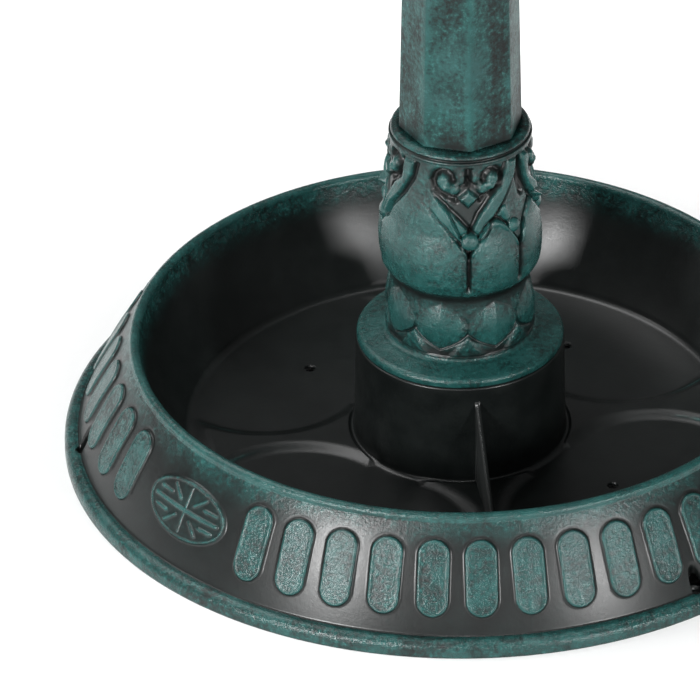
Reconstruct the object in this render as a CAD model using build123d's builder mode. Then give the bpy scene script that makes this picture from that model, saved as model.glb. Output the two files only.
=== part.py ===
from build123d import *
import math
import os

# Pedestal bird bath with a planter base, in millimetres.
# The origin is the centre of the base on the ground, +Z is up, and one of the base's two gussets is on -Y.

# ---- driving dimensions ----
wall = 3.0                  # wall of every moulding
total_height = 710.0        # ground to the bowl's rim
base_radius = 200.0         # outer edge of the base
lip_radius = 163.5          # centre line of the trough's rolled lip
lip_height = 61.0
floor_radius = 137.5        # foot of the trough wall
floor_height = 6.0          # top of the trough floor
hub_radius = 53.5           # at the floor
hub_top_radius = 52.5
hub_height = 61.5
bowl_radius = 255.0
shaft_radius = 31.8         # corner radius of the octagon at the shaft's lower end
shaft_taper = 0.0215        # radius lost for each millimetre of height
rod_radius = 3.95           # M8
nut_bore = 4.0
rod_hole = 4.25

# ---- heights worked out from them ----
sleeve_height = 124.0       # foot and capital alike, flange face to ring lip
socket_depth = 36.0         # how far the shaft stands in each sleeve
shaft_bottom = hub_height + sleeve_height - socket_depth
bowl_seat = total_height - 93.0
capital_bottom = bowl_seat - sleeve_height
shaft_top = capital_bottom + socket_depth
capital_girth = 0.86        # the capital is slimmer than the foot
capital_hollow = 27.0
socket_gap = 0.2            # between the shaft's corners and its sockets
spigot_radius = 37.0
spigot_height = 13.0
spigot_gap = 0.5            # loose fit between spigot and bowl

# ---- ornament of the skirt ----
pill_count = 13             # raised pills between two medallions
pill_pitch = 7.5            # degrees, so that 48 pitches go once round
pill_width = 15.8
pill_length = 39.0
relief = 1.5
medallion_width = 54.0      # round the skirt
medallion_length = 29.0     # up its slope
medallion_angles = (-58.5, 61.5, 181.5)     # from -Y towards +X

stake_circle = 190.5
stake_angles = (-92.0, 28.0, 148.0)
stake_hole = 4.2
stake_boss = 7.0
stake_boss_height = 7.4
drain_circle = 94.0
drain_hole = 2.9


def corner_radius(height):
    """Corner radius of the octagonal shaft at a height."""
    return shaft_radius - shaft_taper * (height - shaft_bottom)


def around(radius, angle):
    """Point at an angle from -Y towards +X."""
    return radius * math.sin(math.radians(angle)), -radius * math.cos(math.radians(angle))


def shaft_outline(low, high, grow):
    """The shaft's octagons at two heights, with a corner on each axis, larger by a gap."""
    outlines = []
    for height in (low, high):
        with BuildSketch(Plane.XY.offset(height)) as outline:
            RegularPolygon(corner_radius(height) + grow, 8)
        outlines += outline.sketch.faces()
    return outlines


def write(part, name):
    """Label a finished piece and write it out."""
    part.label = name
    export_step(part, "parts/" + name + ".step")


# ---- planter base ----
skirt_foot = (192.5, 9.0)
skirt_middle = (180.3, 34.0)
skirt_top = (166.3, 57.5)
trough_middle = (152.0, 31.0)
saddle_rise = 3.0
saddle_half_width = 28.0
pocket_radius = 50.0
pocket_centre = (91.0, 59.0)
gusset_half_thickness = 1.25
gusset_top = (52.0, 53.5)
gusset_middle = (78.0, 29.7)
gusset_toe = (104.0, 9.0)
gusset_foot = 7.0           # sunk into the saddle
skirt_slope = math.degrees(math.atan2(skirt_top[1] - skirt_foot[1], skirt_foot[0] - skirt_top[0]))
pill_centre = (180.4, 33.8)


def raised_shape(angle, width, length):
    """Stadium, or an oval where it is about as wide as long, square to the skirt at an angle."""
    radius, height = pill_centre
    outward = Vector(*around(1, angle), 0)
    upward = Vector(0, 0, 1)
    slope = math.radians(skirt_slope)
    normal = outward * math.sin(slope) + upward * math.cos(slope)
    across = Vector(0, 0, 1).cross(outward)
    place = Plane(origin=outward * radius + upward * height, x_dir=across, z_dir=normal)
    with BuildSketch(place.offset(-4)) as outline:
        if length > 1.5 * width:
            SlotOverall(length, width, rotation=90)
        else:
            Ellipse(width / 2, length / 2)
    return outline.sketch


ornaments = []
for medallion in medallion_angles:
    ornaments += raised_shape(medallion, medallion_width, medallion_length).faces()
    for step in range(pill_count):
        from_middle = (step - (pill_count - 1) / 2) * pill_pitch
        ornaments += raised_shape(medallion + 60 + from_middle, pill_width, pill_length).faces()

with BuildPart() as skirt_relief:
    with BuildSketch(Plane.XZ):
        with BuildLine():
            ThreePointArc((skirt_foot[0] - 1, skirt_foot[1]), (179.3, 33.5), (165.5, 57.5))
            Line((165.5, 57.5), (skirt_top[0] + relief, skirt_top[1] + 0.5))
            ThreePointArc(
                (skirt_top[0] + relief, skirt_top[1] + 0.5),
                (skirt_middle[0] + 1.3, skirt_middle[1] + 0.7),
                (skirt_foot[0] + relief, skirt_foot[1]),
            )
            Line((skirt_foot[0] + relief, skirt_foot[1]), (skirt_foot[0] - 1, skirt_foot[1]))
        make_face()
    revolve(axis=Axis.Z)
    extrude(ornaments, amount=12, mode=Mode.INTERSECT)

with BuildPart() as planter_base:
    with BuildSketch(Plane.XZ):
        with BuildLine():
            Line((base_radius - wall, 0), (base_radius, 0))
            Line((base_radius, 0), (base_radius, 3.5))
            ThreePointArc((base_radius, 3.5), (base_radius - 1.6, 7.0), (base_radius - 5, 8.2))
            Line((base_radius - 5, 8.2), skirt_foot)
            ThreePointArc(skirt_foot, skirt_middle, skirt_top)
            ThreePointArc(skirt_top, (lip_radius + 0.2, lip_height), (lip_radius - 2.5, lip_height - 2.6))
            ThreePointArc((lip_radius - 2.5, lip_height - 2.6), trough_middle, (floor_radius, floor_height))
            Line((floor_radius, floor_height), (hub_radius, floor_height))
            Line((hub_radius, floor_height), (hub_top_radius, hub_height))
            Line((hub_top_radius, hub_height), (rod_hole, hub_height))
            Line((rod_hole, hub_height), (rod_hole, hub_height - wall))
            Line((rod_hole, hub_height - wall), (hub_top_radius - wall, hub_height - wall))
            Line((hub_top_radius - wall, hub_height - wall), (hub_radius - wall, floor_height - wall))
            Line((hub_radius - wall, floor_height - wall), (floor_radius + 1.8, floor_height - wall))
            ThreePointArc((floor_radius + 1.8, floor_height - wall), (154.8, 29.8), (164.0, 56.5))
            ThreePointArc((164.0, 56.5), (177.6, 32.6), (189.6, 7.6))
            Line((189.6, 7.6), (base_radius - wall, 4.6))
            Line((base_radius - wall, 4.6), (base_radius - wall, 0))
        make_face()
    revolve(axis=Axis.Z)
    add(skirt_relief.part)

    # Four raised saddles, waisted between the rounded pockets.
    with BuildSketch(Plane.XY.offset(floor_height - 1)):
        for quarter in range(4):
            turn = 90 * quarter
            with Locations(Plane.XY.rotated((0, 0, turn))):
                with Locations((88, 0)):
                    Rectangle(110, 2 * saddle_half_width)
        for quarter in range(4):
            turn = 90 * quarter
            with Locations(Plane.XY.rotated((0, 0, turn))):
                with Locations(pocket_centre, (pocket_centre[0], -pocket_centre[1])):
                    Circle(pocket_radius, mode=Mode.SUBTRACT)
        Circle(floor_radius + 1.3, mode=Mode.INTERSECT)
        Circle(hub_radius - 1.5, mode=Mode.SUBTRACT)
    extrude(amount=saddle_rise + 1)

    # Two thin gussets from the hub down to the front and back saddles.
    for side in (1, -1):
        along = Vector(0, side, 0)
        with BuildSketch(Plane((0, 0, 0), x_dir=along, z_dir=along.cross(Vector(0, 0, 1)))):
            with BuildLine():
                ThreePointArc(gusset_top, gusset_middle, gusset_toe)
                Line(gusset_toe, (gusset_toe[0], gusset_foot))
                Polyline((gusset_toe[0], gusset_foot), (gusset_top[0], gusset_foot), gusset_top)
            make_face()
        extrude(amount=gusset_half_thickness, both=True)

    # Bosses with the holes for the ground stakes, and a drain hole in each pocket.
    with BuildSketch(Plane.XY):
        with Locations(*[around(stake_circle, angle) for angle in stake_angles]):
            Circle(stake_boss)
    extrude(amount=stake_boss_height)
    with BuildSketch(Plane.XY):
        with Locations(*[around(stake_circle, angle) for angle in stake_angles]):
            Circle(stake_hole)
    extrude(amount=40, mode=Mode.SUBTRACT)
    with BuildSketch(Plane.XY):
        with PolarLocations(drain_circle, 4, start_angle=45):
            Circle(drain_hole)
    extrude(amount=20, mode=Mode.SUBTRACT)


# ---- foot and capital: one sleeve shape, standing on its flange or hanging from it ----
flange_radius = 52.0
groove_foot = 46.0          # from the flange face
groove_length = 26.0
groove_depth = 5.0
groove_width = 1.6
groove_circle = 41.0
ring_recess = 7.0           # depth of the round mouth inside the ring lip


def sleeve_skin(face, way, girth):
    """Outline of a sleeve from its flange face to its ring lip, closed on the axis."""
    def at(radius, height):
        return radius * girth, face + way * height

    with BuildSketch(Plane.XZ) as outline:
        with BuildLine():
            Polyline((0, face), at(flange_radius, 0), at(flange_radius, 2.5))
            ThreePointArc(at(flange_radius, 2.5), at(51.0, 4.0), at(49.0, 4.8))
            Line(at(49.0, 4.8), at(40.0, 6.0))
            ThreePointArc(at(40.0, 6.0), at(37.9, 6.8), at(37.0, 8.5))
            ThreePointArc(at(37.0, 8.5), at(37.4, 19.0), at(36.2, 32.0))
            ThreePointArc(at(36.2, 32.0), at(35.2, 38.0), at(36.0, 44.0))
            ThreePointArc(at(36.0, 44.0), at(40.8, 60.0), at(37.0, 77.0))
            ThreePointArc(at(37.0, 77.0), at(35.6, 96.0), at(35.6, 119.0))
            Line(at(35.6, 119.0), at(36.1, 119.8))
            ThreePointArc(at(36.1, 119.8), at(35.7, 122.4), at(33.4, sleeve_height))
            Polyline(at(33.4, sleeve_height), (0, face + way * sleeve_height), (0, face))
        make_face()
    return outline.sketch


def petal_grooves(face, way, girth):
    """Eight upright grooves that part the petals of the bulge."""
    start = face + way * groove_foot
    with BuildSketch(Plane.XY.offset(min(start, start + way * groove_length))) as outline:
        with PolarLocations(groove_circle * girth, 8, start_angle=22.5):
            Rectangle(groove_depth, groove_width)
    return outline.sketch


with BuildPart() as pedestal_foot:
    revolve(sleeve_skin(hub_height, 1, 1.0), axis=Axis.Z)
    extrude(petal_grooves(hub_height, 1, 1.0), amount=groove_length, mode=Mode.SUBTRACT)
    with BuildSketch(Plane.XY.offset(hub_height)):
        Circle(shaft_radius + 1.2)
    extrude(amount=shaft_bottom - wall - hub_height, mode=Mode.SUBTRACT)
    loft(shaft_outline(shaft_bottom, hub_height + sleeve_height, socket_gap), mode=Mode.SUBTRACT)
    with BuildSketch(Plane.XY.offset(hub_height + sleeve_height - ring_recess)):
        Circle(corner_radius(hub_height + sleeve_height - ring_recess) + socket_gap)
    extrude(amount=ring_recess, mode=Mode.SUBTRACT)
    with BuildSketch(Plane.XY.offset(shaft_bottom - wall)):
        Circle(rod_hole)
    extrude(amount=wall, mode=Mode.SUBTRACT)

with BuildPart() as column_shaft:
    loft(shaft_outline(shaft_bottom, shaft_top, 0))
    loft(shaft_outline(shaft_bottom, shaft_top, -wall), mode=Mode.SUBTRACT)

with BuildPart() as column_capital:
    revolve(sleeve_skin(bowl_seat, -1, capital_girth), axis=Axis.Z)
    extrude(petal_grooves(bowl_seat, -1, capital_girth), amount=groove_length, mode=Mode.SUBTRACT)
    with BuildSketch(Plane.XY.offset(bowl_seat)):
        Circle(spigot_radius)
    extrude(amount=spigot_height)
    with BuildSketch(Plane.XY.offset(shaft_top + wall)):
        Circle(capital_hollow)
    extrude(amount=total_height - shaft_top, mode=Mode.SUBTRACT)
    loft(shaft_outline(capital_bottom, shaft_top, socket_gap), mode=Mode.SUBTRACT)
    with BuildSketch(Plane.XY.offset(capital_bottom)):
        Circle(corner_radius(capital_bottom) + socket_gap)
    extrude(amount=ring_recess, mode=Mode.SUBTRACT)
    with BuildSketch(Plane.XY.offset(shaft_top)):
        Circle(rod_hole)
    extrude(amount=wall, mode=Mode.SUBTRACT)

# ---- bowl ----
bowl_socket = spigot_radius + spigot_gap
bowl_boss = 46.0            # foot of the bowl, round the socket
bowl_floor = bowl_seat + spigot_height + 1 + wall
floor_flat = 60.0           # radius of the level middle of the bowl's floor
rim = total_height
rim_drop = 12.0             # depth of the rim's turned-down edge

with BuildPart() as bowl:
    with BuildSketch(Plane.XZ):
        with BuildLine():
            Line((0, bowl_floor), (floor_flat, bowl_floor))
            ThreePointArc((floor_flat, bowl_floor), (170, bowl_floor + 18), (238, rim - 6))
            ThreePointArc((238, rim - 6), (243, rim - 1.4), (248, rim))
            ThreePointArc((248, rim), (253, rim - 2.4), (bowl_radius, rim - 7))
            Line((bowl_radius, rim - 7), (bowl_radius, rim - rim_drop))
            Line((bowl_radius, rim - rim_drop), (bowl_radius - wall, rim - rim_drop))
            ThreePointArc((bowl_radius - wall, rim - rim_drop), (250.6, rim - 6), (247, rim - 3.8))
            Line((247, rim - 3.8), (240.5, rim - 8.2))
            ThreePointArc((240.5, rim - 8.2), (172, bowl_floor + 14.6), (floor_flat + 2, bowl_floor - 3.4))
            ThreePointArc((floor_flat + 2, bowl_floor - 3.4), (50, bowl_seat + 7), (bowl_boss, bowl_seat))
            Polyline((bowl_boss, bowl_seat), (bowl_socket, bowl_seat), (bowl_socket, bowl_floor - wall))
            Polyline((bowl_socket, bowl_floor - wall), (0, bowl_floor - wall), (0, bowl_floor))
        make_face()
    revolve(axis=Axis.Z)

# ---- tie rod and its fasteners ----
washer_thickness = 1.6
top_washer_radius = 12.0
hub_washer_radius = 15.0
top_face = shaft_top + wall
deck_face = hub_height - wall
nut_height = 6.5
nut_apothem = 6.5           # 13 mm across the flats
rod_above = 14.0            # past the capital's inner deck
rod_below = 18.0            # past the hub's deck
rod_chamfer = 0.8
wing_boss = 8.0
wing_half_thickness = 1.25

with BuildPart() as tie_rod:
    with BuildSketch(Plane.XY.offset(deck_face - rod_below)):
        Circle(rod_radius)
    extrude(amount=top_face + rod_above - deck_face + rod_below)
    chamfer(tie_rod.edges().filter_by(GeomType.CIRCLE), rod_chamfer)

with BuildPart() as top_washer:
    with BuildSketch(Plane.XY.offset(top_face)):
        Circle(top_washer_radius)
        Circle(rod_hole, mode=Mode.SUBTRACT)
    extrude(amount=washer_thickness)

with BuildPart() as top_nut:
    with BuildSketch(Plane.XY.offset(top_face + washer_thickness)):
        RegularPolygon(nut_apothem, 6, major_radius=False)
        Circle(nut_bore, mode=Mode.SUBTRACT)
    extrude(amount=nut_height)

with BuildPart() as hub_washer:
    with BuildSketch(Plane.XY.offset(deck_face - washer_thickness)):
        Circle(hub_washer_radius)
        Circle(rod_hole, mode=Mode.SUBTRACT)
    extrude(amount=washer_thickness)

with BuildPart() as wing_nut:
    wing_top = deck_face - washer_thickness
    with BuildSketch(Plane.XZ):
        with BuildLine():
            Polyline((0, wing_top), (7.5, wing_top), (6.2, wing_top - wing_boss))
            Polyline((6.2, wing_top - wing_boss), (0, wing_top - wing_boss), (0, wing_top))
        make_face()
    revolve(axis=Axis.Z)
    for side in (1, -1):
        with BuildSketch(Plane.XZ):
            with BuildLine():
                Spline(
                    (side * 5.0, wing_top - 1.0),
                    (side * 12.0, wing_top - 3.0),
                    (side * 17.5, wing_top - 11.0),
                    (side * 13.5, wing_top - 14.0),
                    (side * 8.5, wing_top - 10.0),
                    (side * 5.0, wing_top - 7.5),
                )
                Line((side * 5.0, wing_top - 7.5), (side * 5.0, wing_top - 1.0))
            make_face()
        extrude(amount=wing_half_thickness, both=True)
    with BuildSketch(Plane.XY.offset(wing_top - wing_boss)):
        Circle(nut_bore)
    extrude(amount=wing_boss, mode=Mode.SUBTRACT)

os.makedirs("parts", exist_ok=True)
write(planter_base.part, "planter_base")
write(pedestal_foot.part, "pedestal_foot")
write(column_shaft.part, "column_shaft")
write(column_capital.part, "column_capital")
write(bowl.part, "bowl")
write(tie_rod.part, "tie_rod")
write(top_washer.part, "top_washer")
write(top_nut.part, "top_nut")
write(hub_washer.part, "hub_washer")
write(wing_nut.part, "wing_nut")
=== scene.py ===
import math

import bpy
import numpy as np
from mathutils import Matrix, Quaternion, Vector

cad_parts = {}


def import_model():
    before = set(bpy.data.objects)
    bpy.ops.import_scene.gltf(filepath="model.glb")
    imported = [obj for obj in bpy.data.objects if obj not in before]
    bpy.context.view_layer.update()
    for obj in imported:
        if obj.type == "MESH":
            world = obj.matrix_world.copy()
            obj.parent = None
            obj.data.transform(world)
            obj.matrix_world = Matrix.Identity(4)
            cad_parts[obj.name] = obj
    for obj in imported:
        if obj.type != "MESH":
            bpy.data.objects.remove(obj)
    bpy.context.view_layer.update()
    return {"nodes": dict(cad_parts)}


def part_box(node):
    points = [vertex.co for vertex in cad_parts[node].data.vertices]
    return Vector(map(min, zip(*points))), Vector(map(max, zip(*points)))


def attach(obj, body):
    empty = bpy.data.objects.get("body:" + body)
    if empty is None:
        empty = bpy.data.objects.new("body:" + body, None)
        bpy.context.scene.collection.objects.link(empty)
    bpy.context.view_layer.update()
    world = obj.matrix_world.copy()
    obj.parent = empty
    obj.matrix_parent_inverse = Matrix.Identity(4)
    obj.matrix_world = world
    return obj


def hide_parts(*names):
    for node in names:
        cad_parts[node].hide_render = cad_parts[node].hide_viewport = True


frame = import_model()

# Pedestal bird bath. Sizes below are in millimetres and turn into metres where a mesh is made.
# Angles are in degrees from -Y, the side of the camera, towards +X.
MM = 0.001


def millimetres(node):
    """Lowest and highest corners of a CAD node."""
    low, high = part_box(node)
    return np.array(low) / MM, np.array(high) / MM


base_high = millimetres("planter_base")[1]
foot_low, foot_high = millimetres("pedestal_foot")
shaft_low, shaft_high = millimetres("column_shaft")
capital_low = millimetres("column_capital")[0]
bowl_low, bowl_high = millimetres("bowl")
rod_low, rod_high = millimetres("tie_rod")

base_radius = round(base_high[0])
hub_height = base_high[2]
bowl_radius = round(bowl_high[0])
rim = bowl_high[2]
bowl_seat = bowl_low[2]
wall = 3.0


# ---- outlines: rows of (radius, height) ----
def straight(start, end, count):
    """Evenly spaced points from start up to, but without, end."""
    steps = np.linspace(0, 1, count, endpoint=False)[:, None]
    return np.array(start) * (1 - steps) + np.array(end) * steps


def bow(start, middle, end, count):
    """Points on the arc through three points, without the last one."""
    (x1, y1), (x2, y2), (x3, y3) = start, middle, end
    turn = 2 * (x1 * (y2 - y3) + x2 * (y3 - y1) + x3 * (y1 - y2))
    squares = (x1**2 + y1**2, x2**2 + y2**2, x3**2 + y3**2)
    centre_x = (squares[0] * (y2 - y3) + squares[1] * (y3 - y1) + squares[2] * (y1 - y2)) / turn
    centre_y = (squares[0] * (x3 - x2) + squares[1] * (x1 - x3) + squares[2] * (x2 - x1)) / turn
    radius = math.hypot(x1 - centre_x, y1 - centre_y)
    first, between, last = (math.atan2(y - centre_y, x - centre_x) for x, y in (start, middle, end))
    sweep = (last - first) % math.tau
    if (between - first) % math.tau > sweep:
        sweep -= math.tau
    angles = first + sweep * np.linspace(0, 1, count, endpoint=False)
    return np.stack([centre_x + radius * np.cos(angles), centre_y + radius * np.sin(angles)], axis=1)


def smooth(low, high, value):
    """0 below low, 1 above high, and a soft step between."""
    share = np.clip((value - low) / (high - low), 0, 1)
    return share * share * (3 - 2 * share)


def joined(zones):
    """Rows of an outline from its named stretches, and the name of each row's stretch."""
    names, stretches = zip(*zones)
    return np.concatenate(stretches), np.repeat(names, [len(rows) for rows in stretches])[:, None]


def row_normals(rows):
    """Outward normals of a closed outline that runs counter-clockwise round its wall."""
    along = np.roll(rows, -1, axis=0) - np.roll(rows, 1, axis=0)
    normal = np.stack([along[:, 1], -along[:, 0]], axis=1)
    return normal / np.linalg.norm(normal, axis=1)[:, None]


def run_of(rows):
    """Distance of each row from the first one, along the outline."""
    steps = np.linalg.norm(np.diff(rows, axis=0, prepend=rows[:1]), axis=1)
    return np.cumsum(steps)[:, None]


def ridge(value, middle, half_width):
    """Round ridge of height 1 where the value is near its middle."""
    return np.exp(-(((value - middle) / half_width) ** 2))


# ---- meshes ----
def mesh_object(name, points, faces, patina_and_painted_light=None):
    """Object from points in millimetres, with its share of green paint, painted highlight and painted shade
    included, as an attribute.
    """
    mesh = bpy.data.meshes.new(name)
    mesh.from_pydata((np.asarray(points) * MM).tolist(), [], faces)
    mesh.validate()
    mesh.shade_smooth()
    if patina_and_painted_light is not None:
        mesh.attributes.new("patina_and_painted_light", "FLOAT", "POINT").data.foreach_set("value", patina_and_painted_light.astype(np.float32))
    made = bpy.data.objects.new(name, mesh)
    bpy.context.scene.collection.objects.link(made)
    return made


def turned(name, rows, columns, relief=None, radius_at=None):
    """Closed outline turned about +Z. relief(angle, rows) gives the height off the skin and the paint."""
    angles = np.arange(columns) * 360 / columns
    radius = np.repeat(rows[:, :1], columns, axis=1)
    height = np.repeat(rows[:, 1:], columns, axis=1)
    paint = np.zeros_like(radius)
    if relief:
        lift, paint = relief(angles[None, :], rows)
        normal = row_normals(rows)
        radius = radius + lift * normal[:, :1]
        height = height + lift * normal[:, 1:]
    if radius_at:
        radius = radius_at(angles[None, :], rows, radius)
    turn = np.radians(angles)[None, :]
    points = np.stack([radius * np.sin(turn), -radius * np.cos(turn), height], axis=-1).reshape(-1, 3)
    row, column = np.meshgrid(np.arange(len(rows)), np.arange(columns), indexing="ij")
    next_row = (row + 1) % len(rows)
    next_column = (column + 1) % columns
    faces = np.stack(
        [
            row * columns + column,
            row * columns + next_column,
            next_row * columns + next_column,
            next_row * columns + column,
        ],
        axis=-1,
    ).reshape(-1, 4)
    return mesh_object(name, points, faces.tolist(), paint.reshape(-1))


def cylinder(name, centre, radius, low, high, sides=48):
    """Closed round cutter."""
    turn = np.arange(sides) * math.tau / sides
    ring = np.stack([centre[0] + radius * np.cos(turn), centre[1] + radius * np.sin(turn)], axis=1)
    points = [(*p, low) for p in ring] + [(*p, high) for p in ring]
    faces = [[i, (i + 1) % sides, sides + (i + 1) % sides, sides + i] for i in range(sides)]
    faces += [list(range(sides))[::-1], list(range(sides, 2 * sides))]
    return mesh_object(name, points, faces, np.zeros(len(points)))


def combine(target, tool, operation):
    """Cut a tool from a piece or join it on, and remove the tool."""
    change = target.modifiers.new("combine", "BOOLEAN")
    change.operation = operation
    change.object = tool
    change.solver = "MANIFOLD"
    bpy.context.view_layer.update()
    evaluated = target.evaluated_get(bpy.context.evaluated_depsgraph_get())
    mesh = bpy.data.meshes.new_from_object(evaluated)
    target.modifiers.clear()
    target.data = mesh
    bpy.data.objects.remove(tool)


def on_circle(radius, angle):
    """Point at an angle from -Y towards +X."""
    return radius * math.sin(math.radians(angle)), -radius * math.cos(math.radians(angle))


# ---- raised ornament of the base's skirt and the bowl's side ----
pill_count = 13
pill_pitch = 7.5
pill_width = 15.8
pill_length = 38.0
medallion_reach = (27.0, 14.5)
medallion_angles = (-58.0, 62.0, 182.0)
group_from_medallion = 59.3


def angle_from(angle, reference):
    """Signed angle from a reference, within half a turn."""
    return (angle - reference + 180) % 360 - 180


def inside(distance, softness=0.45):
    """1 inside a shape and 0 outside, from the distance outside its outline."""
    return 1 - smooth(-softness, softness, distance)


def bar_distance(u, v, start, end, half_width):
    """Distance outside a straight bar with round ends."""
    du, dv = end[0] - start[0], end[1] - start[1]
    share = np.clip(((u - start[0]) * du + (v - start[1]) * dv) / (du * du + dv * dv), 0, 1)
    return np.hypot(u - start[0] - share * du, v - start[1] - share * dv) - half_width


def pill_profile(distance):
    """Rise of a pill from the distance outside its outline: a crisp rim round a level top."""
    return 1.2 * inside(distance, 0.5) + 0.35 * ridge(distance, -0.9, 0.5)


def medallion_bars(across, along):
    """A plain rosette: one long bar, a thin one square to it, and four short ones in each corner's fan."""
    bars = 0.75 * inside(bar_distance(across, along, (-22, 0), (22, 0), 0.85), 0.4)
    bars = np.maximum(bars, 0.45 * inside(bar_distance(across, along, (0, -11.5), (0, 11.5), 0.35), 0.35))
    for side in (1, -1):
        for end in (1, -1):
            diagonal = bar_distance(across, along, (side * 5.0, end * 4.2), (side * 11.3, end * 9.6), 0.65)
            level = bar_distance(across, along, (side * 12.0, end * 4.9), (side * 20.0, end * 4.7), 0.65)
            bars = np.maximum(bars, 0.65 * inside(np.minimum(diagonal, level), 0.4))
    return bars


def pills_and_medallions(angle, radius, along):
    """Rise and paint of the raised pills and medallions, with painted highlights on their rims and painted
    shade round the pills. along is measured up the slope from their middle.
    """
    shape = np.broadcast(angle, along).shape
    nearest = np.full(shape, 1e3)
    for medallion in medallion_angles:
        for step in range(pill_count):
            place = medallion + group_from_medallion + (step - (pill_count - 1) / 2) * pill_pitch
            across = np.radians(angle_from(angle, place)) * radius
            beyond = np.maximum(np.abs(along) - (pill_length - pill_width) / 2, 0)
            nearest = np.minimum(nearest, np.hypot(across, beyond) - pill_width / 2)
    rise = pill_profile(nearest)
    paint = 0.60 * inside(nearest, 0.5)
    # painted highlight: a brighter rim just inside each pill's edge; painted shade: a dark line just outside
    # it, where the pill meets the ground
    paint = paint + 0.6 * ridge(nearest, -0.7, 0.6) - 0.8 * ridge(nearest, 0.9, 0.8)
    for medallion in medallion_angles:
        across = np.radians(angle_from(angle, medallion)) * radius
        scaled = np.hypot(across / medallion_reach[0], along / medallion_reach[1])
        slope = np.hypot(across / medallion_reach[0] ** 2, along / medallion_reach[1] ** 2)
        distance = (scaled - 1) * scaled / np.maximum(slope, 1e-6)
        bars = medallion_bars(across, along) * (distance < -1.5)
        rise = rise + 0.9 * inside(distance, 0.5) + 0.4 * ridge(distance, -0.9, 0.5) + bars
        # the ridge just inside each medallion's rim is a painted highlight; the bars carry more green paint
        paint = paint + 0.16 * inside(distance, 0.5) + 0.6 * ridge(distance, -0.9, 0.6) + 1.3 * bars
    return rise, paint


# ---- planter base ----
crease = (192.5, 8.6)
bead_edge = 193.0
skirt_middle = (180.3, 34.0)
skirt_top = (166.3, 57.3)
lip_top = (163.6, 61.0)
lip_inside = (161.0, 58.2)
trough_middle = (152.0, 31.0)
rod_hole = 4.25
skirt_rows = 92
pill_middle = (180.6, 33.6)
floor_height = 6.0
saddle_height = 2.6
saddle_half_width = 28.0
pocket_centre = (91.0, 59.0)
pocket_radius = 50.0
stake_circle = 190.5
stake_angles = (-92.0, 28.0, 148.0)
drain_circle = 94.0


def base_outline():
    """Wall of the base, from the ground outside, over the lip, through the trough and back below."""
    return joined(
        [
            ("bead", straight((base_radius, 0), (base_radius, 3.0), 3)),
            ("bead", bow((base_radius, 3.0), (198.2, 7.0), (194.6, 8.2), 9)),
            ("bead", bow((194.6, 8.2), (193.4, 8.0), crease, 4)),
            ("skirt", bow(crease, skirt_middle, skirt_top, skirt_rows)),
            ("lip", bow(skirt_top, lip_top, lip_inside, 14)),
            ("trough", bow(lip_inside, trough_middle, (139.8, 8.8), 30)),
            ("trough", bow((139.8, 8.8), (138.3, 6.8), (135.6, floor_height), 6)),
            ("floor", straight((135.6, floor_height), (56.5, floor_height), 96)),
            ("floor", bow((56.5, floor_height), (54.2, 6.9), (53.4, 9.2), 6)),
            ("hub", straight((53.4, 9.2), (52.5, hub_height - 1), 16)),
            ("hub", bow((52.5, hub_height - 1), (52.2, hub_height - 0.3), (51.5, hub_height), 4)),
            ("hub", straight((51.5, hub_height), (rod_hole, hub_height), 4)),
            ("below", straight((rod_hole, hub_height), (rod_hole, hub_height - wall), 2)),
            ("below", straight((rod_hole, hub_height - wall), (49.4, hub_height - wall), 5)),
            ("below", straight((49.4, hub_height - wall), (50.5, 3.0), 8)),
            ("below", straight((50.5, 3.0), (139.3, 3.0), 14)),
            ("below", bow((139.3, 3.0), (154.8, 29.8), (163.9, 56.0), 20)),
            ("below", bow((163.9, 56.0), (177.6, 32.6), (189.6, 7.6), 20)),
            ("below", straight((189.6, 7.6), (base_radius - wall, 4.6), 3)),
            ("below", straight((base_radius - wall, 4.6), (base_radius - wall, 0), 3)),
        ]
    )


base_rows, base_zone = base_outline()


def base_relief(angle, rows):
    """Ornament on the skirt, saddles on the trough floor, and where the green paint lies, with a painted
    highlight along the saddle crests.
    """
    radius = rows[:, :1]
    height = rows[:, 1:]
    skirt = base_zone == "skirt"
    along = run_of(rows)
    middle = np.argmin(np.linalg.norm(rows - pill_middle, axis=1))
    rise, paint = pills_and_medallions(angle, radius, along - along[middle])
    rise = rise * skirt
    paint = paint * skirt

    top_side = (base_zone == "trough") | (base_zone == "floor")
    on_floor = top_side & (height < 8.5) & (radius < 138) & (radius > 53)
    x = radius * np.sin(np.radians(angle))
    y = radius * np.cos(np.radians(angle))
    along_rib = np.maximum(np.abs(x), np.abs(y))
    off_rib = np.minimum(np.abs(x), np.abs(y))
    round_pocket = pocket_radius - np.hypot(along_rib - pocket_centre[0], off_rib - pocket_centre[1])
    pocket = np.maximum(round_pocket, off_rib - saddle_half_width)
    saddle = saddle_height * (1 - smooth(-7.0, 2.5, pocket))
    faded = smooth(53.4, 56.0, radius) * (1 - smooth(125.0, 137.0, radius))
    rise = rise + np.where(on_floor, saddle * faded, 0)

    # green share of each zone; the green along the saddle crests is a painted highlight
    green = {
        "bead": ((base_zone == "bead") & (radius > bead_edge)) * 0.66,
        "skirt": skirt * (0.12 + 0.42 * smooth(42, 60, height)),
        "saddle rim highlight": 0.5 * on_floor * ridge(pocket, -2.2, 1.2) * smooth(95, 125, radius) * faded,
        "lip": (base_zone == "lip") * 0.92,
        "trough": (base_zone == "trough") * (0.03 + 0.66 * smooth(36, 60, height) ** 1.5),
    }
    for share in green.values():
        paint = share + paint * (1 - share)
    return rise, paint


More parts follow.
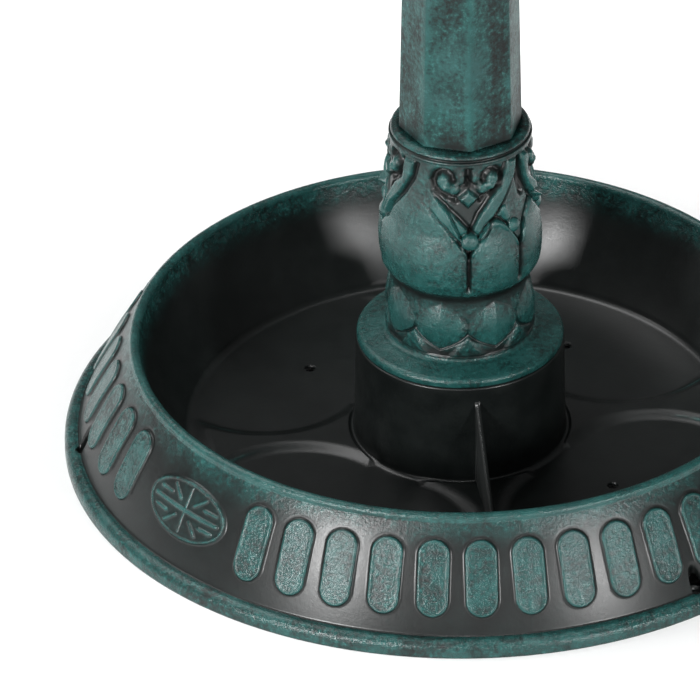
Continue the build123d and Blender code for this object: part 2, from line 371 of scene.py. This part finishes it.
def gusset(turn):
    """Thin rib from the hub down to a saddle, as a closed plate."""
    curve = bow((52.6, 53.5), (78.0, 29.7), (104.0, 9.2), 24)
    outline = np.concatenate([curve, [(104.5, 8.8), (104.5, 7.4), (51.0, 7.4), (51.0, 53.8)]])
    count = len(outline)
    half = 1.25
    points = [(radius, -half, height) for radius, height in outline]
    points += [(radius, half, height) for radius, height in outline]
    faces = [[i, (i + 1) % count, count + (i + 1) % count, count + i] for i in range(count)]
    faces += [list(range(count))[::-1], list(range(count, 2 * count))]
    cos, sin = math.cos(math.radians(turn)), math.sin(math.radians(turn))
    points = [(x * cos - y * sin, x * sin + y * cos, z) for x, y, z in points]
    return mesh_object("gusset", points, faces, np.zeros(len(points)))


def planter_base():
    base = turned("planter_base_moulding", base_rows, 1440, base_relief)
    for turn in (90, -90):
        combine(base, gusset(turn), "UNION")
    for angle in (45, 135, 225, 315):
        combine(base, cylinder("drain", on_circle(drain_circle, angle), 2.9, -1, 20), "DIFFERENCE")
    for angle in stake_angles:
        combine(base, cylinder("stake_boss", on_circle(stake_circle, angle), 7.0, 0.1, 7.2), "UNION")
        combine(base, cylinder("stake_hole", on_circle(stake_circle, angle), 4.2, -1, 40), "DIFFERENCE")
    return base


# ---- sleeves: foot and capital ----
shaft_corner = 31.8
shaft_taper = 0.0215
capital_hollow = 27.0
sleeve_columns = 720
turn_of_ornament = -3.1


def distance_to_path(u, v, path):
    """Distance from points of the unrolled skin to a path of straight runs."""
    nearest = np.full(np.broadcast(u, v).shape, 1e9)
    for (u1, v1), (u2, v2) in zip(path[:-1], path[1:]):
        du, dv = u2 - u1, v2 - v1
        share = np.clip(((u - u1) * du + (v - v1) * dv) / (du * du + dv * dv), 0, 1)
        nearest = np.minimum(nearest, np.hypot(u - u1 - share * du, v - v1 - share * dv))
    return nearest


def across_from(angle, reference, period=180):
    """Signed angle from the nearest repeat of a reference, in radians."""
    return np.radians((angle - reference + period / 2) % period - period / 2)


def sleeve_outline():
    """Wall of a sleeve, from its flange face at height 0 to its ring lip at the sleeve's height."""
    parts = [
        straight((51.4, 0), (52.0, 0.6), 2),
        straight((52.0, 0.6), (52.0, 2.4), 3),
        bow((52.0, 2.4), (51.2, 4.0), (49.2, 4.8), 7),
        bow((49.2, 4.8), (44.0, 5.5), (40.2, 6.2), 10),
        bow((40.2, 6.2), (37.9, 6.8), (36.9, 8.2), 5),
        bow((36.9, 8.2), (36.2, 19.0), (35.6, 31.0), 60),
        bow((35.6, 31.0), (34.7, 38.5), (35.2, 44.6), 30),
        bow((35.2, 44.6), (37.8, 47.4), (39.2, 53.0), 34),
        bow((39.2, 53.0), (39.7, 61.0), (36.8, 78.0), 70),
        bow((36.8, 78.0), (35.6, 97.0), (35.5, 119.2), 104),
        bow((35.5, 119.2), (35.7, 120.0), (35.3, 120.7), 5),
        bow((35.3, 120.7), (34.5, 121.1), (34.8, 121.6), 5),
        bow((34.8, 121.6), (34.4, 123.0), (33.0, 123.8), 9),
        straight((33.0, 123.8), (32.4, 124.0), 3),
        straight((32.1, 124.7), (31.8, 90.0), 10),
        straight((31.6, 90.0), (31.6, 3.0), 6),
        straight((31.6, 3.0), (33.0, 0), 3),
        straight((33.0, 0), (51.4, 0), 6),
    ]
    rows = np.concatenate(parts)
    # ease the joins between the arcs of the body
    body = (rows[:, 0] > 33) & (rows[:, 1] > 12) & (rows[:, 1] < 117)
    eased = np.convolve(rows[:, 0], np.full(9, 1 / 9), mode="same")
    rows[body, 0] = eased[body]
    return rows


# Petals in half a turn: first and last degree, and how far the tip stands above the notches.
petals = ((-90, 0, 45), (0, 43, 19), (43, 90, 22))


def sleeve_relief(angle, rows):
    """Scale leaves round the bottom, petals on the bulge, and scrolls with crossed bands above them."""
    skin_radius = 36.5
    height = rows[:, 1:]
    # the skin goes up to the highest row, and the paint just over it
    outside = (np.arange(len(rows)) <= np.argmax(rows[:, 1]) + 1)[:, None]
    # the pattern repeats after half a turn
    u = (angle - turn_of_ornament + 90) % 180 - 90
    lift = np.zeros(np.broadcast(angle, height).shape)

    def path(points, about=0.0):
        """Distance from a line of (degrees, height) points set about an angle."""
        span = np.radians((u - about + 90) % 180 - 90) * skin_radius
        return distance_to_path(span, height, [(math.radians(a) * skin_radius, h) for a, h in points])

    # petals stand proud of the ground above them and round off into the grooves between them
    petal_top = np.full(u.shape, 67.0)
    for first, last, tip in petals:
        across = np.clip((u - first) / (last - first), 0, 1)
        petal_top = petal_top + tip * (1 - np.abs(2 * across - 1) ** 1.9)
    on_bulge = smooth(40, 46, height)
    fading = 1 - smooth(86, 100, height)
    lift = lift + 1.4 * smooth(-1.6, 0.4, petal_top - height) * on_bulge * fading
    lift = lift + 0.5 * ridge(petal_top - height, 1.5, 1.4) * on_bulge * fading
    lift = lift - 1.6 * ridge(height - petal_top, 1.3, 1.1) * on_bulge * fading
    for groove in (0, 43, 90, -90):
        across = np.abs(np.radians(u - groove) * skin_radius)
        depth = 2.1 * ridge(across, 0, 0.9) + 1.2 * ridge(across, 0, 3.6)
        lift = lift - depth * smooth(46, 50, height) * (1 - smooth(68, 74, height))

    for motif in (0, 90):
        # sunk triangle between the bands, with the diamond on it
        across = np.abs(np.radians((u - motif + 90) % 180 - 90) * skin_radius)
        triangle = across / 13 + np.abs(height - 98) / 15
        lift = lift - 0.9 * (1 - smooth(0.7, 1.05, triangle))
        diamond = across / 7.2 + np.abs(height - 100.6) / 6.4
        lift = lift + 2.4 * (1 - smooth(0.35, 1.0, diamond))
        # crossed bands with a sunk line on both sides, the right one reaching up to the ring
        left_band = path([(-34, 100), (-25, 94.5), (-13, 87), (-3, 79.5)], motif) - 3.1
        right_band = path([(40, 118), (36.5, 109.8), (25, 98), (14, 89), (8, 81.5)], motif) - 3.3
        left_fade = smooth(-34, -20, (u - motif + 90) % 180 - 90)
        for band, fade in ((left_band, left_fade), (right_band, 1.0)):
            lift = lift + (1.3 * inside(band, 0.9) - 1.5 * ridge(band, 1.2, 1.1)) * fade
        # scrolls: a sunk line curls round a raised eye with a tail
        for side in (1, -1):
            curl = path(
                [(side * a, h) for a, h in (
                    (12.5, 110.5), (13.5, 113.5), (17.5, 115.8), (22, 116.0), (27, 113.4),
                    (29.2, 109.5), (27.5, 105.3), (22, 102.6), (16.5, 101.2), (10.5, 99.2),
                )],
                motif,
            )
            lift = lift - 2.5 * ridge(curl, 0, 1.6)
            eye = path([(side * 20.5, 110.3), (side * 19, 108.0)], motif) - 2.6
            tail = path([(side * 17, 107), (side * 11.0, 105.0)], motif) - 2.0
            lift = lift + 1.6 * inside(eye, 1.5) + 1.1 * inside(tail, 1.2)
            horn = path([(side * 5.2, 113.5), (side * 4.6, 109.5)], motif) - 1.2
            lift = lift + 0.6 * inside(horn, 1.0)
        # arrow-shaped notch
        notch = path([(0, 118.5), (0, 108.5)], motif)
        barbs = path([(-5, 107.6), (0, 109.5), (5, 107.6)], motif)
        lift = lift - 2.4 * ridge(notch, 0, 1.6) - 1.3 * ridge(barbs, 0, 1.1)
        # round bead where the bands meet
        bead = np.hypot(across_from(u, motif + 0.8) * skin_radius, height - 76.8)
        lift = lift - 1.1 * ridge(bead, 4.9, 0.9)
        lift = np.where(bead < 4.3, 0.4 + 2.9 * np.sqrt(np.clip(1 - (bead / 4.4) ** 2, 0, 1)), lift)

    # the smaller motif between two scrolls: bead, bump, drooping pointed leaf and the dark line beside it
    small_bead = np.hypot(across_from(u, 39) * skin_radius, height - 80)
    lift = np.where(small_bead < 3.6, 0.6 + 2.2 * np.sqrt(np.clip(1 - (small_bead / 3.7) ** 2, 0, 1)), lift)
    bump = path([(30, 91), (33, 86)]) - 1.7
    lift = lift + 1.1 * inside(bump, 1.0)
    dark_line = path([(46, 117), (47, 106), (51, 96)])
    lift = lift - 2.2 * ridge(dark_line, 0, 2.0)
    leaf = path([(53, 115), (58, 104), (66, 94), (73, 86)]) - 3.0 * (0.35 + 0.65 * smooth(82, 98, height))
    lift = lift + 2.2 * inside(leaf, 1.0) - 1.4 * ridge(leaf, 1.3, 1.0)

    # eight pillowed leaves that run out into the neck, with pointed ones below and between them
    tilt = np.radians((angle - turn_of_ornament) % 45 - 22.5) * skin_radius
    above = height > 25
    lens = np.abs(tilt) / 14.6 + ((height - 25.0) / np.where(above, 13.0, 12.0)) ** 2
    pillow = np.clip(1 - lens, 0, 1) ** (0.5 + 0.6 * smooth(23, 31, height))
    below = 1 - smooth(23, 28, height)
    lift = lift + 2.3 * pillow * (height < 40) - 0.8 * ridge(lens, 1.06, 0.07) * below
    low_tilt = across_from(angle - turn_of_ornament, 0, 45) * skin_radius
    low_leaf = np.abs(low_tilt) / 12.5 + (height - 8.0) / 15.5
    lift = lift + 1.0 * smooth(0, 0.4, 1 - low_leaf) * (height < 24)

    ornamented = smooth(8.6, 10.5, height) * (1 - smooth(116.6, 118.0, height))
    lift = (lift * ornamented + 0.5 * ridge(height, 8.6, 0.55)) * outside
    # green follows the relief, as the brushed finish leaves more green on what stands proud; it is also
    # painted shade in the grooves and painted highlight on the crests
    paint = 0.46 + 0.30 * np.clip(lift, -1.3, 1.8)
    # painted shade: darker in the waist below the bulge, in the crease above the flange and in the groove
    # under the ring lip
    neck = ridge(height, 42.5, 4.0) + 0.8 * ridge(height, 10.5, 2.2)
    paint = paint + 0.4 * (height < 7.5) + 0.2 * (height > 122)
    paint = paint - 0.45 * neck - 0.7 * ridge(height, 121.3, 0.5)
    return lift, np.clip(paint, 0, 1.2) * outside


def octagon_radius(angle, height):
    """Radius of the shaft's octagon, with a corner on each axis, at an angle and a height."""
    corner = shaft_corner - shaft_taper * (height - shaft_low[2])
    return corner * math.cos(math.radians(22.5)) / np.cos(np.radians((angle % 45) - 22.5))


def sleeve(name, face, way, girth):
    """Foot or capital: the same sleeve standing on its flange, or hanging from it."""

    def bore(angle, rows, radius):
        """The hole of the sleeve follows the shaft's octagon, and is round above the shaft."""
        height = face + way * rows[:, 1:]
        hole = np.where(height > shaft_high[2] + wall, capital_hollow, octagon_radius(angle, height) + 0.2)
        return np.where(rows[:, :1] < 32.2, hole / girth, radius)

    made = turned(name, sleeve_outline(), sleeve_columns, sleeve_relief, bore)
    points = np.array([v.co for v in made.data.vertices]) / MM
    points[:, :2] *= girth
    points[:, 2] = face + way * points[:, 2]
    made.data.vertices.foreach_set("co", (points * MM).astype(np.float32).reshape(-1))
    if way < 0:
        made.data.flip_normals()
    made.data.update()
    return made


def column_capital():
    """The capital: a slim hanging sleeve with the spigot for the bowl and the web that the rod clamps."""
    capital = sleeve("column_capital_moulding", bowl_seat, -1, 0.86)
    low, top = bowl_seat - 2.0, bowl_seat + 13.0
    outer, inner = 37.0, capital_hollow - 0.2
    spigot = [
        straight((outer, low), (outer, top - 1), 6),
        bow((outer, top - 1), (outer - 0.3, top - 0.3), (outer - 1, top), 4),
        straight((outer - 1, top), (inner + 1, top), 6),
        bow((inner + 1, top), (inner + 0.3, top - 0.3), (inner, top - 1), 4),
        straight((inner, top - 1), (inner, low), 6),
        straight((inner, low), (outer, low), 6),
    ]
    combine(capital, turned("spigot", np.concatenate(spigot), 240), "UNION")
    web_low, web_high, edge = shaft_high[2] + 0.1, shaft_high[2] + wall, capital_hollow + 0.8
    web = [
        straight((edge, web_low), (edge, web_high), 2),
        straight((edge, web_high), (rod_hole, web_high), 4),
        straight((rod_hole, web_high), (rod_hole, web_low), 2),
        straight((rod_hole, web_low), (edge, web_low), 4),
    ]
    combine(capital, turned("web", np.concatenate(web), 96), "UNION")
    return capital


# ---- shaft ----
def column_shaft():
    """Tapered octagonal tube with eased corners and a faintly uneven skin."""
    heights = np.linspace(shaft_low[2], shaft_high[2], 160)
    corners = []
    eased = 2.2
    for corner in range(8):
        for step in np.linspace(-1, 1, 7):
            corners.append(corner * 45 + step * eased)
        for step in np.linspace(eased, 45 - eased, 10)[1:-1]:
            corners.append(corner * 45 + step)
    angles = np.array(corners)
    from_corner = np.abs((angles + 22.5) % 45 - 22.5)
    flat = math.cos(math.radians(22.5)) / np.cos(np.radians((angles % 45) - 22.5))
    easing = 0.0065 * np.clip(1 - from_corner / 4.0, 0, 1) ** 2
    shape = flat - easing
    rings = []
    for height, thickness in [(h, 0) for h in heights] + [(h, wall) for h in heights[::-40]]:
        radius = (shaft_corner - shaft_taper * (height - shaft_low[2]) - thickness) * shape
        turn = np.radians(angles)
        level = np.full(len(angles), height)
        rings.append(np.stack([radius * np.sin(turn), -radius * np.cos(turn), level], axis=1))
    count = len(angles)
    points = np.concatenate(rings)
    faces = []
    for ring in range(len(rings)):
        following = (ring + 1) % len(rings)
        for i in range(count):
            j = (i + 1) % count
            faces.append([ring * count + i, ring * count + j, following * count + j, following * count + i])
    # more green on the eased corners: partly the brushed finish, partly a painted highlight along each corner
    corner_light = np.tile(np.clip(1 - from_corner / 6, 0, 1), len(rings))
    paint = 0.50 + 0.30 * corner_light
    # painted shade: darker next to the rings of the foot and the capital
    for from_ring in (points[:, 2] - foot_high[2], capital_low[2] - points[:, 2]):
        paint = paint - 0.45 * np.exp(-from_ring / 4) * (from_ring > 0)
    return mesh_object("column_shaft_moulding", points, faces, paint)


# ---- bowl ----
pill_radius = 205.0
rim_band = 230.0


def bowl_outline():
    """Wall of the bowl, from the socket below, up the outside, over the rim and down inside."""
    floor = bowl_seat + 17.0
    socket = 37.5
    return joined(
        [
            ("foot", straight((socket, bowl_seat), (45.0, bowl_seat), 4)),
            ("foot", bow((45.0, bowl_seat), (46.0, bowl_seat + 0.4), (46.5, bowl_seat + 1.2), 4)),
            ("foot", bow((46.5, bowl_seat + 1.2), (51, bowl_seat + 8.2), (62, floor - 3.4), 12)),
            ("side", bow((62, floor - 3.4), (172, floor + 14.6), (240.5, rim - 8.2), 190)),
            ("rim", straight((240.5, rim - 8.2), (247, rim - 3.8), 5)),
            ("rim", bow((247, rim - 3.8), (250.6, rim - 6), (bowl_radius - wall, rim - 12), 8)),
            ("rim", straight((bowl_radius - wall, rim - 12), (bowl_radius, rim - 12), 3)),
            ("rim", straight((bowl_radius, rim - 12), (bowl_radius, rim - 7), 4)),
            ("rim", bow((bowl_radius, rim - 7), (253, rim - 2.4), (248, rim), 8)),
            ("rim", bow((248, rim), (243, rim - 1.4), (238, rim - 6), 8)),
            ("basin", bow((238, rim - 6), (170, floor + 18), (60, floor), 60)),
            ("basin", straight((60, floor), (0.6, floor), 12)),
            ("basin", straight((0.6, floor), (0.6, floor - wall), 2)),
            ("basin", straight((0.6, floor - wall), (socket, floor - wall), 5)),
            ("basin", straight((socket, floor - wall), (socket, bowl_seat), 4)),
        ]
    )


bowl_rows, bowl_zone = bowl_outline()


def bowl_relief(angle, rows):
    """The base's pills and medallions again, round the outside of the bowl under its rim."""
    radius = rows[:, :1]
    side = bowl_zone == "side"
    along = run_of(rows)
    middle = np.argmin(np.where(side, np.abs(radius - pill_radius), base_radius))
    rise, paint = pills_and_medallions(angle, radius, along - along[middle])
    paint = np.maximum(paint * side, 0.45)
    basin = bowl_zone == "basin"
    fully_green = (bowl_zone == "rim") | (basin & (radius > rim_band))
    paint = np.maximum(paint, fully_green * 1.0)
    return 0.75 * rise * side, np.maximum(paint, basin * 0.72)


# ---- tie rod ----
def tie_rod():
    """Rod with an M8 thread at both ends."""
    pitch, depth, radius, sides = 1.25, 0.45, 3.95, 28
    length = rod_high[2] - rod_low[2]
    threaded = 60.0
    heights = np.concatenate(
        [
            np.arange(0, threaded, pitch / 8),
            np.linspace(threaded, length - threaded, 12, endpoint=False),
            np.arange(length - threaded, length, pitch / 8),
            [length],
        ]
    )
    turn = np.arange(sides) * math.tau / sides
    from_end = np.minimum(heights, length - heights)[:, None]
    phase = (heights[:, None] / pitch - turn[None, :] / math.tau) % 1
    groove = depth * (1 - np.abs(2 * phase - 1)) * (from_end < threaded)
    taper = 0.8 * np.clip(1 - from_end / 0.9, 0, 1)
    ring = radius - groove - taper
    level = np.repeat(heights[:, None] + rod_low[2], sides, axis=1)
    points = np.stack([ring * np.cos(turn), ring * np.sin(turn), level], axis=-1).reshape(-1, 3)
    rows = len(heights)
    faces = []
    for row in range(rows - 1):
        for i in range(sides):
            j = (i + 1) % sides
            faces.append([row * sides + i, row * sides + j, (row + 1) * sides + j, (row + 1) * sides + i])
    faces += [list(range(sides))[::-1], list(range((rows - 1) * sides, rows * sides))]
    return mesh_object("tie_rod_threaded", points, faces)


# ---- materials ----
class Graph:
    """A material's nodes, made and joined by name."""

    def __init__(self, name):
        self.material = bpy.data.materials.new(name)
        self.material.use_nodes = True
        self.nodes = self.material.node_tree.nodes
        self.links = self.material.node_tree.links
        self.shader = self.nodes["Principled BSDF"]
        self.place = self.nodes.new("ShaderNodeTexCoord").outputs["Object"]

    def link(self, source, target):
        self.links.new(source, target)

    def noise(self, scale, detail=4.0, roughness=0.55, stretch=1.0):
        """Noise, drawn out along Z where stretch is below 1."""
        node = self.nodes.new("ShaderNodeTexNoise")
        node.inputs["Scale"].default_value = scale
        node.inputs["Detail"].default_value = detail
        node.inputs["Roughness"].default_value = roughness
        mapping = self.nodes.new("ShaderNodeMapping")
        mapping.inputs["Scale"].default_value = (1, 1, stretch)
        self.link(self.place, mapping.inputs["Vector"])
        self.link(mapping.outputs["Vector"], node.inputs["Vector"])
        return node.outputs["Fac"]

    def ramp(self, value, low, high, start=0.0, end=1.0):
        node = self.nodes.new("ShaderNodeMapRange")
        node.interpolation_type = "SMOOTHSTEP"
        for name, number in (("From Min", low), ("From Max", high), ("To Min", start), ("To Max", end)):
            node.inputs[name].default_value = number
        self.link(value, node.inputs["Value"])
        return node.outputs["Result"]

    def math(self, operation, a, b):
        node = self.nodes.new("ShaderNodeMath")
        node.operation = operation
        for socket, value in zip(node.inputs, (a, b)):
            if isinstance(value, (int, float)):
                socket.default_value = value
            else:
                self.link(value, socket)
        return node.outputs["Value"]

    def about_zero(self, noise, amount):
        """Noise moved to lie about 0, times an amount."""
        return self.math("MULTIPLY", self.math("SUBTRACT", noise, 0.5), amount)

    def mix(self, share, a, b):
        node = self.nodes.new("ShaderNodeMix")
        node.data_type = "RGBA"
        sockets = {s.identifier: s for s in node.inputs}
        values = {"Factor_Float": share, "A_Color": a, "B_Color": b}
        for socket, value in ((sockets[name], value) for name, value in values.items()):
            if isinstance(value, tuple):
                socket.default_value = (*value, 1)
            elif isinstance(value, (int, float)):
                socket.default_value = value
            else:
                self.link(value, socket)
        return next(s for s in node.outputs if s.identifier == "Result_Color")

    def bump(self, height, strength, distance, below=None):
        node = self.nodes.new("ShaderNodeBump")
        node.inputs["Strength"].default_value = strength
        node.inputs["Distance"].default_value = distance
        self.link(height, node.inputs["Height"])
        if below:
            self.link(below, node.inputs["Normal"])
        return node.outputs["Normal"]


def verdigris(name, gloss=0.5, roughness=0.24, streak=0.0):
    """Black resin with green verdigris brushed over what stands proud. The green share it reads also holds
    painted highlights and painted shade.
    """
    g = Graph(name)
    attribute = g.nodes.new("ShaderNodeAttribute")
    attribute.attribute_name = "patina_and_painted_light"
    share = attribute.outputs["Fac"]
    cloud = g.noise(22, 6, 0.6)
    patch = g.noise(75, 5, 0.6)
    speckle = g.noise(430, 4, 0.7)
    fine = g.noise(1350, 2, 0.6)
    solid = g.ramp(share, 0.1, 0.7, 0.12, 1.0)
    worn = g.math("ADD", g.math("MULTIPLY", cloud, 0.55), g.math("MULTIPLY", patch, 0.45))
    if streak:
        share = g.math("ADD", share, g.about_zero(g.noise(70, 5, 0.6, stretch=0.1), streak))
    cover = g.math("ADD", share, g.math("MULTIPLY", g.about_zero(worn, 2.2), solid))
    cover = g.math("ADD", cover, g.math("MULTIPLY", g.about_zero(speckle, 2.2), solid))
    covered = g.ramp(cover, 0.05, 0.95)
    black = g.mix(g.ramp(patch, 0.3, 0.7), (0.0035, 0.0050, 0.0048), (0.0070, 0.0090, 0.0086))
    green = g.mix(g.ramp(patch, 0.3, 0.75), (0.008, 0.052, 0.048), (0.017, 0.084, 0.078))
    green = g.mix(g.ramp(speckle, 0.54, 0.72, 0, 0.55), green, (0.044, 0.160, 0.149))
    green = g.mix(g.ramp(cloud, 0.50, 0.72, 0, 0.5), green, (0.024, 0.060, 0.060))
    g.link(g.mix(covered, black, green), g.shader.inputs["Base Color"])
    rough = g.math("ADD", g.ramp(covered, 0, 1, roughness + 0.1, roughness), g.about_zero(fine, 0.2))
    g.link(rough, g.shader.inputs["Roughness"])
    coarse = g.bump(g.math("MULTIPLY", speckle, solid), 0.5, 0.0009)
    crinkle = g.bump(g.math("MULTIPLY", fine, solid), 0.4, 0.0003, coarse)
    g.link(crinkle, g.shader.inputs["Normal"])
    g.shader.inputs["Specular IOR Level"].default_value = gloss
    return g.material


def zinc(name):
    """Zinc-plated steel, faintly clouded and brushed."""
    g = Graph(name)
    cloud = g.noise(180, 4, 0.6)
    fine = g.noise(2400, 2, 0.6)
    g.link(g.mix(cloud, (0.42, 0.43, 0.42), (0.62, 0.62, 0.58)), g.shader.inputs["Base Color"])
    g.link(g.ramp(cloud, 0.2, 0.8, 0.28, 0.45), g.shader.inputs["Roughness"])
    g.link(g.bump(fine, 0.2, 0.0001), g.shader.inputs["Normal"])
    g.shader.inputs["Metallic"].default_value = 1.0
    return g.material


def paint_with(piece, material):
    piece.data.materials.clear()
    piece.data.materials.append(material)


# ---- assembly ----
def settle(piece, body, node, material):
    """Give a piece its body and its material, and hide the CAD node it stands for."""
    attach(piece, body)
    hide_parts(node)
    paint_with(piece, material)


settle(planter_base(), "stand", "planter_base", verdigris("base_verdigris"))
foot = sleeve("pedestal_foot_moulding", foot_low[2], 1, 1.0)
settle(foot, "stand", "pedestal_foot", verdigris("foot_verdigris"))
settle(column_capital(), "stand", "column_capital", verdigris("capital_verdigris"))
streaked = verdigris("shaft_verdigris", gloss=0.25, roughness=0.42, streak=1.6)
settle(column_shaft(), "stand", "column_shaft", streaked)
bowl = turned("bowl_moulding", bowl_rows, 1080, bowl_relief)
settle(bowl, "bowl", "bowl", verdigris("bowl_verdigris"))
steel = zinc("zinc_steel")
settle(tie_rod(), "stand", "tie_rod", steel)
for name in ("top_washer", "top_nut", "hub_washer", "wing_nut"):
    paint_with(frame["nodes"][name], steel)


# ---- stage ----
def floor():
    """Plain pale floor."""
    mesh = bpy.data.meshes.new("floor")
    half = 6.0
    corners = [(-half, -half, 0), (half, -half, 0), (half, half, 0), (-half, half, 0)]
    mesh.from_pydata(corners, [], [[0, 1, 2, 3]])
    made = bpy.data.objects.new("floor", mesh)
    bpy.context.scene.collection.objects.link(made)
    material = bpy.data.materials.new("floor")
    material.use_nodes = True
    shader = material.node_tree.nodes["Principled BSDF"]
    shader.inputs["Base Color"].default_value = (0.93, 0.93, 0.93, 1)
    shader.inputs["Roughness"].default_value = 0.9
    mesh.materials.append(material)


def softbox(name, place, target, size, power):
    """Square area light that faces a point."""
    data = bpy.data.lights.new(name, "AREA")
    data.shape = "RECTANGLE"
    data.size, data.size_y = size
    data.energy = power
    light = bpy.data.objects.new(name, data)
    light.location = place
    light.rotation_euler = (Vector(target) - Vector(place)).to_track_quat("-Z", "Y").to_euler()
    bpy.context.scene.collection.objects.link(light)


camera_angle = -9.6


def around_camera(turn, elevation, distance):
    """Place at an angle beside the camera, with its elevation and its distance from the base."""
    azimuth = math.radians(camera_angle + turn)
    rise = math.radians(elevation)
    level = distance * math.cos(rise)
    return level * math.sin(azimuth), -level * math.cos(azimuth), distance * math.sin(rise)


def camera():
    """The viewpoint: 33 degrees above the floor with a long lens, aimed left of the base's middle."""
    place = Vector(around_camera(0, 32.85, 4.5))
    azimuth = math.radians(camera_angle)
    right = Vector((math.cos(azimuth), math.sin(azimuth), 0))
    up = place.normalized().cross(right)
    aim = right * -0.0557 + up * 0.0435
    data = bpy.data.cameras.new("camera")
    data.sensor_width = 36
    data.lens = 457
    made = bpy.data.objects.new("camera", data)
    made.location = place
    made.rotation_mode = "QUATERNION"
    level = (aim - place).to_track_quat("-Z", "Y")
    made.rotation_quaternion = level @ Quaternion((0, 0, 1), math.radians(-0.37))
    bpy.context.scene.collection.objects.link(made)
    bpy.context.scene.camera = made


def world():
    made = bpy.data.worlds.new("studio")
    made.use_nodes = True
    made.node_tree.nodes["Background"].inputs["Color"].default_value = (1, 1, 1, 1)
    made.node_tree.nodes["Background"].inputs["Strength"].default_value = 0.13
    bpy.context.scene.world = made


floor()
world()
softbox("left_softbox", around_camera(-37, 22, 2.6), (0, 0, 0.1), (0.30, 0.40), 54)
softbox("right_softbox", around_camera(40, 18, 2.6), (0, 0, 0.1), (0.26, 0.40), 30)
softbox("front_strip", around_camera(4, 20, 3.2), (0, 0, 0.1), (1.5, 0.2), 4)
softbox("high_front", around_camera(0, 54, 3.0), (0, 0, 0.1), (0.2, 0.16), 8)
softbox("side_light", around_camera(-95, 40, 2.6), (0, 0, 0.1), (0.2, 0.2), 6)
softbox("overhead", (0.2, -0.1, 3.6), (0, 0.2, 0), (1.2, 1.2), 84)
softbox("floor_light", (-0.9, 1.3, 3.6), (-0.6, 1.6, 0), (3.6, 2.2), 115)
camera()
bpy.context.scene.view_settings.view_transform = "Standard"
